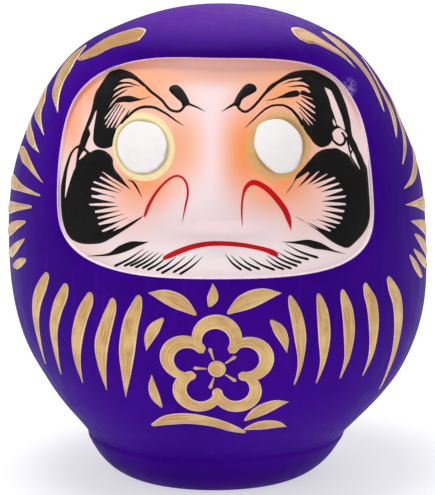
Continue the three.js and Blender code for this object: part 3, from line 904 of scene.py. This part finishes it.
# ---------------------------------------------------------------- gold strokes on the body
gold = Paint()
SPREAD = 1.1  # the loaded brush spreads
for path in (
    # below the face, left then right: the stroke's top, its belly and its tip
    [(-51, 87, 2.4), (-53.6, 82, 5.2), (-57.2, 75.4, 6), (-59.6, 68, 5), (-61, 58.8, 2.8),
     (-63, 48.4, 0.12)],
    [(-43.4, 84.6, 2.4), (-45, 80, 4.8), (-47.6, 74.6, 5.4), (-50.6, 66, 4.9), (-52, 57.6, 3.2),
     (-54, 46.8, 0.12)],
    [(-35, 83, 2), (-36, 79.2, 4.4), (-38.4, 73.6, 5.4), (-41.4, 64, 5.3), (-43.2, 54.7, 3.2),
     (-44, 45.9, 0.12)],
    [(-28, 82, 1.8), (-28.6, 78, 4), (-30.4, 72.2, 5.2), (-33, 63.4, 5.9), (-34.2, 54.4, 3.6),
     (-35, 45, 0.12)],
    [(-20.4, 84, 1.8), (-21.4, 79.4, 4.4), (-23.2, 73.2, 6), (-25.2, 62.6, 6.3), (-26.8, 53, 3.8),
     (-29, 42.9, 0.12)],
    [(18.4, 84, 1.0), (19.2, 80.6, 3.2), (20.4, 75.6, 4.6), (21.6, 67.8, 4.6), (22.2, 59.8, 2.6),
     (22, 54, 1.4), (21.2, 49, 0.6)],
    [(26.4, 83.8, 1.2), (27.2, 80, 3.4), (28, 75, 4.9), (28.8, 66.6, 5), (29.2, 58, 2.7), (28.8, 53, 1.4),
     (28.2, 48.6, 0.5)],
    [(33.8, 84.2, 1.2), (34.6, 80.4, 3.6), (35.8, 75, 5.1), (36.8, 66.8, 5.1), (37.2, 58, 2.9),
     (36.8, 53.6, 1.6), (36.2, 49.2, 0.5)],
    [(41.6, 85.2, 1.6), (42.8, 81, 4.2), (44.6, 76, 5.7), (46, 67.2, 5.4), (46.6, 58.4, 3.4),
     (46.2, 53.4, 1.8), (45.2, 48.4, 0.4)],
    [(50.8, 85.6, 1.8), (53, 80.8, 4.8), (55.6, 75.4, 6), (57.6, 66.6, 6), (58.8, 56, 4), (59.4, 47, 2.2),
     (60.4, 38.7, 0.12)],
    # down the left side
    [(-84, 127.2, 1.6), (-79, 127.2, 4.2), (-74, 126.2, 5), (-68, 124.6, 3.4), (-62, 122.2, 1.8),
     (-56, 119.6, 0.12)],
    [(-94, 113.5, 1), (-86, 114.2, 5.4), (-78, 115, 5.4), (-70, 115, 3), (-62, 114.9, 1.6),
     (-56, 114.7, 0.6)],
    [(-94, 102.6, 1), (-86, 103.6, 4.4), (-78, 105.6, 4.6), (-70, 107.6, 3), (-62, 109.4, 1.4),
     (-60, 109.7, 0.6)],
    [(-92, 93.6, 1), (-84, 95, 4), (-76, 98, 4.6), (-69, 101.2, 3), (-63, 103.6, 0.8)],
    [(-86, 86, 1), (-78, 88.2, 3.8), (-72, 91.4, 3.8), (-67, 94.6, 2.2), (-63.5, 97, 0.6)],
    [(-75, 83.8, 1.4), (-71, 85.2, 3.4), (-66.5, 87.4, 3.2), (-62.5, 89.4, 1)],
    # down the right side
    [(95, 148, 0.6), (88, 144, 2.8), (83, 139.4, 3.8), (79, 134.2, 3.6), (73, 129.4, 2.4),
     (66, 124.6, 0.12)],
    [(93, 127, 1), (84, 124.4, 4.6), (77, 120.6, 4.6), (70, 117.8, 2.8), (62.5, 116, 0.12)],
    [(96, 103.5, 1), (86, 105.4, 6), (78, 107, 5), (70, 108.8, 2.6), (61.5, 110.2, 0.12)],
    [(94, 93.6, 1), (84, 96, 5.2), (76, 99, 4.6), (70, 101.4, 2.6), (64, 103.6, 0.12)],
    [(92, 84.6, 1), (84, 87.4, 4.4), (76, 91.6, 4.4), (71, 95, 3), (66.5, 98.2, 0.8)],
    [(86, 80.6, 1), (79, 83.6, 3.4), (72, 87.6, 3.4), (65.5, 92.6, 0.8)],
    [(73, 80, 1), (70.5, 82.4, 3), (66.5, 86.6, 3.2), (62.5, 91.2, 0.8)],
):
    gold.stroke([(turn, z, width * SPREAD) for turn, z, width in path], THICK, side=True, across=WIDE)

# the broad strokes over the shoulders: one edge, then back along the other
for there, back in (
    ([(-43.5, 170.6), (-45.5, 172.6), (-49.5, 174), (-58, 174.2), (-63.5, 173), (-69, 171), (-71, 168.8),
      (-70.8, 166.6), (-71.2, 164.6)],
     [(-72.5, 161.5), (-67.5, 161.4), (-63.5, 162.5), (-59, 164.2), (-57, 166), (-54, 167.6), (-49, 168.9)]),
    ([(-82, 165.6), (-79, 165), (-75, 163), (-72.5, 160.9), (-70.5, 159.4), (-68.6, 157.3), (-67.8, 155),
      (-66.5, 152.8), (-64.5, 150.2)],
     [(-60, 144.6), (-63.5, 146.6), (-71, 150), (-76.5, 153.5), (-81, 156), (-84.5, 159), (-85, 162.6)]),
    ([(-92, 150.4), (-85, 150), (-76, 147.3), (-73.5, 143.4), (-70.5, 141), (-67.5, 138.9)],
     [(-63.5, 136.1), (-69.5, 138.5), (-79, 140.8), (-83, 143), (-88, 146.8)]),
    ([(-92, 139.6), (-84, 138), (-74, 135.6), (-68.5, 132.7)],
     [(-63, 129.8), (-71.5, 131.2), (-81.5, 133.6), (-87, 136)]),
    ([(47.6, 170.6), (48.4, 172.4), (51, 173.7), (54.5, 174.2), (60.5, 173.8), (62.9, 172.2), (63.6, 170),
      (63.8, 168.2), (64.8, 166), (65.2, 163.2)],
     [(65, 159), (63.3, 161.7), (61.4, 163.6), (59, 165.2), (56.5, 167), (53.8, 168.5), (49.6, 169)]),
    ([(77, 171.2), (79, 169.4), (78.4, 166.8), (76.2, 164.6), (74.8, 162), (74.3, 158.6), (74.2, 155.2),
      (73.2, 151.4), (71.2, 147.6)],
     [(68.4, 143.8), (69.4, 148.2), (70.4, 151.8), (70.5, 155.2), (69.8, 158.6), (69, 161.8), (68.6, 164.8),
      (70.4, 167.8), (74, 170.4)]),
    ([(83, 161), (80, 157), (78.8, 153), (78.6, 148.2), (78.6, 144), (76, 139.6)],
     [(68.8, 134.2), (72, 139.3), (74.4, 143.5), (75.8, 148), (76.8, 152), (79, 157)]),
):
    gold.patch(closed(there, back), lift=0.25, side=True)

# plum blossom, its branch and bamboo leaves on the belly
BLOSSOM_X, BLOSSOM_Z = -1, 57
gold.patch(disc(BLOSSOM_X, BLOSSOM_Z, 3.2), lift=0.3)
for k in range(5):
    a = math.radians(90 + 72 * k)
    x, z = BLOSSOM_X + 11.6 * math.cos(a), BLOSSOM_Z + 11.2 * math.sin(a)
    petal = [(x + 7 * math.cos(a + t), z + 6.8 * math.sin(a + t), 4.4 + 1.5 * math.cos(t + 0.3))
             for t in np.linspace(-2.4, 2.4, 11)]
    gold.stroke(petal, THICK, across=WIDE)
    c, s = math.cos(a + 0.3), math.sin(a + 0.3)
    stamen = [(BLOSSOM_X + q * c, BLOSSOM_Z + q * s, w) for q, w in ((3.4, 0.8), (6, 1.1), (8.6, 2))]
    gold.stroke(stamen, THICK)
for path in (
    [(-25, 31, 1.4), (-19, 34.2, 5.4), (-11, 35.4, 5.8), (-2, 33.8, 4.8), (5, 30.8, 3.8), (10, 28.6, 1.2)],
    [(9, 34.4, 1), (13.6, 38.2, 5.6), (19.4, 41, 5), (25, 42, 0.2)],
    [(9, 30.2, 1), (14.6, 31.8, 5), (20.4, 31.8, 4.4), (25, 30.4, 0.2)],
    [(-8, 77.4, 1), (-13.4, 81.6, 6), (-19, 84, 5.4), (-25, 85, 0.2)],
    [(-3.4, 80.4, 1.2), (-2.2, 83.4, 4.2), (-1.8, 86, 3.2), (-2, 89, 0.2)],
    [(3, 78, 1), (9, 82, 6.4), (15.6, 84.4, 5.8), (22.6, 85, 0.2)],
    [(-19.8, 76, 1), (-23, 72.2, 4.4), (-25.2, 68, 3.8), (-26.4, 63, 0.2)],
    [(18.4, 75.4, 1), (21.4, 71.6, 4.4), (23.4, 67.4, 3.6), (24.4, 62.4, 0.2)],
    [(-21.6, 39.6, 0.8), (-23.8, 43.8, 3.8), (-24.8, 48.4, 3.2), (-24.8, 53.4, 0.2)],
):
    gold.stroke(path, THICK, across=WIDE)
gold.make("gold_strokes", GOLD)

# ---------------------------------------------------------------- light, floor, camera
def soft_light(name, energy, size, place):
    """A round softbox, in metres and watts, turned to the doll."""
    data = bpy.data.lights.new(name, "AREA")
    data.energy = energy
    data.shape, data.size = "DISK", size
    lamp = bpy.data.objects.new(name, data)
    lamp.location = place
    look_at(lamp, (0, 0, 0.09))
    bpy.context.collection.objects.link(lamp)


def look_at(thing, aim):
    thing.rotation_mode = "QUATERNION"
    thing.rotation_quaternion = (Vector(aim) - thing.location).to_track_quat("-Z", "Y")


soft_light("top_softbox", 5.0, 0.6, (-0.1, -0.05, 1.0))
soft_light("front_softbox", 1.0, 0.8, (-0.5, -0.9, 0.55))
soft_light("back_light", 1.8, 0.8, (0.3, 0.9, 0.7))

world = bpy.data.worlds.new("studio")
bpy.context.scene.world = world
world.use_nodes = True
background = world.node_tree.nodes["Background"]
background.inputs["Color"].default_value = (1, 1, 1, 1)
background.inputs["Strength"].default_value = 0.5

bpy.ops.mesh.primitive_plane_add(size=20, location=(0, 0, -0.0004))
floor = bpy.context.object
floor.name = "floor"
floor_look = Shader("floor_white", 0.9, 0.1)
floor_look.bsdf.inputs["Emission Color"].default_value = (1, 1, 1, 1)
# a little brighter far behind the doll, where the lamps no longer reach
glow = floor_look.ramp(floor_look.axis(floor_look.place, "Y"), 0.2, 1.5, 0.56, 0.74)
floor_look.put(floor_look.bsdf.inputs["Emission Strength"], glow)
floor.data.materials.append(floor_look.finish((0.6, 0.6, 0.6, 1)))

camera_data = bpy.data.cameras.new("camera")
camera = bpy.data.objects.new("camera", camera_data)
bpy.context.collection.objects.link(camera)
bpy.context.scene.camera = camera
camera_data.lens = 187.7
camera_data.clip_end = 50
# one metre from the doll's middle, a little above it
tilt = math.radians(10.54)
camera.location = (0, -math.cos(tilt), 0.09 + math.sin(tilt))
look_at(camera, (0.0002, 0, 0.0869))
bpy.context.scene.view_settings.view_transform = "Standard"
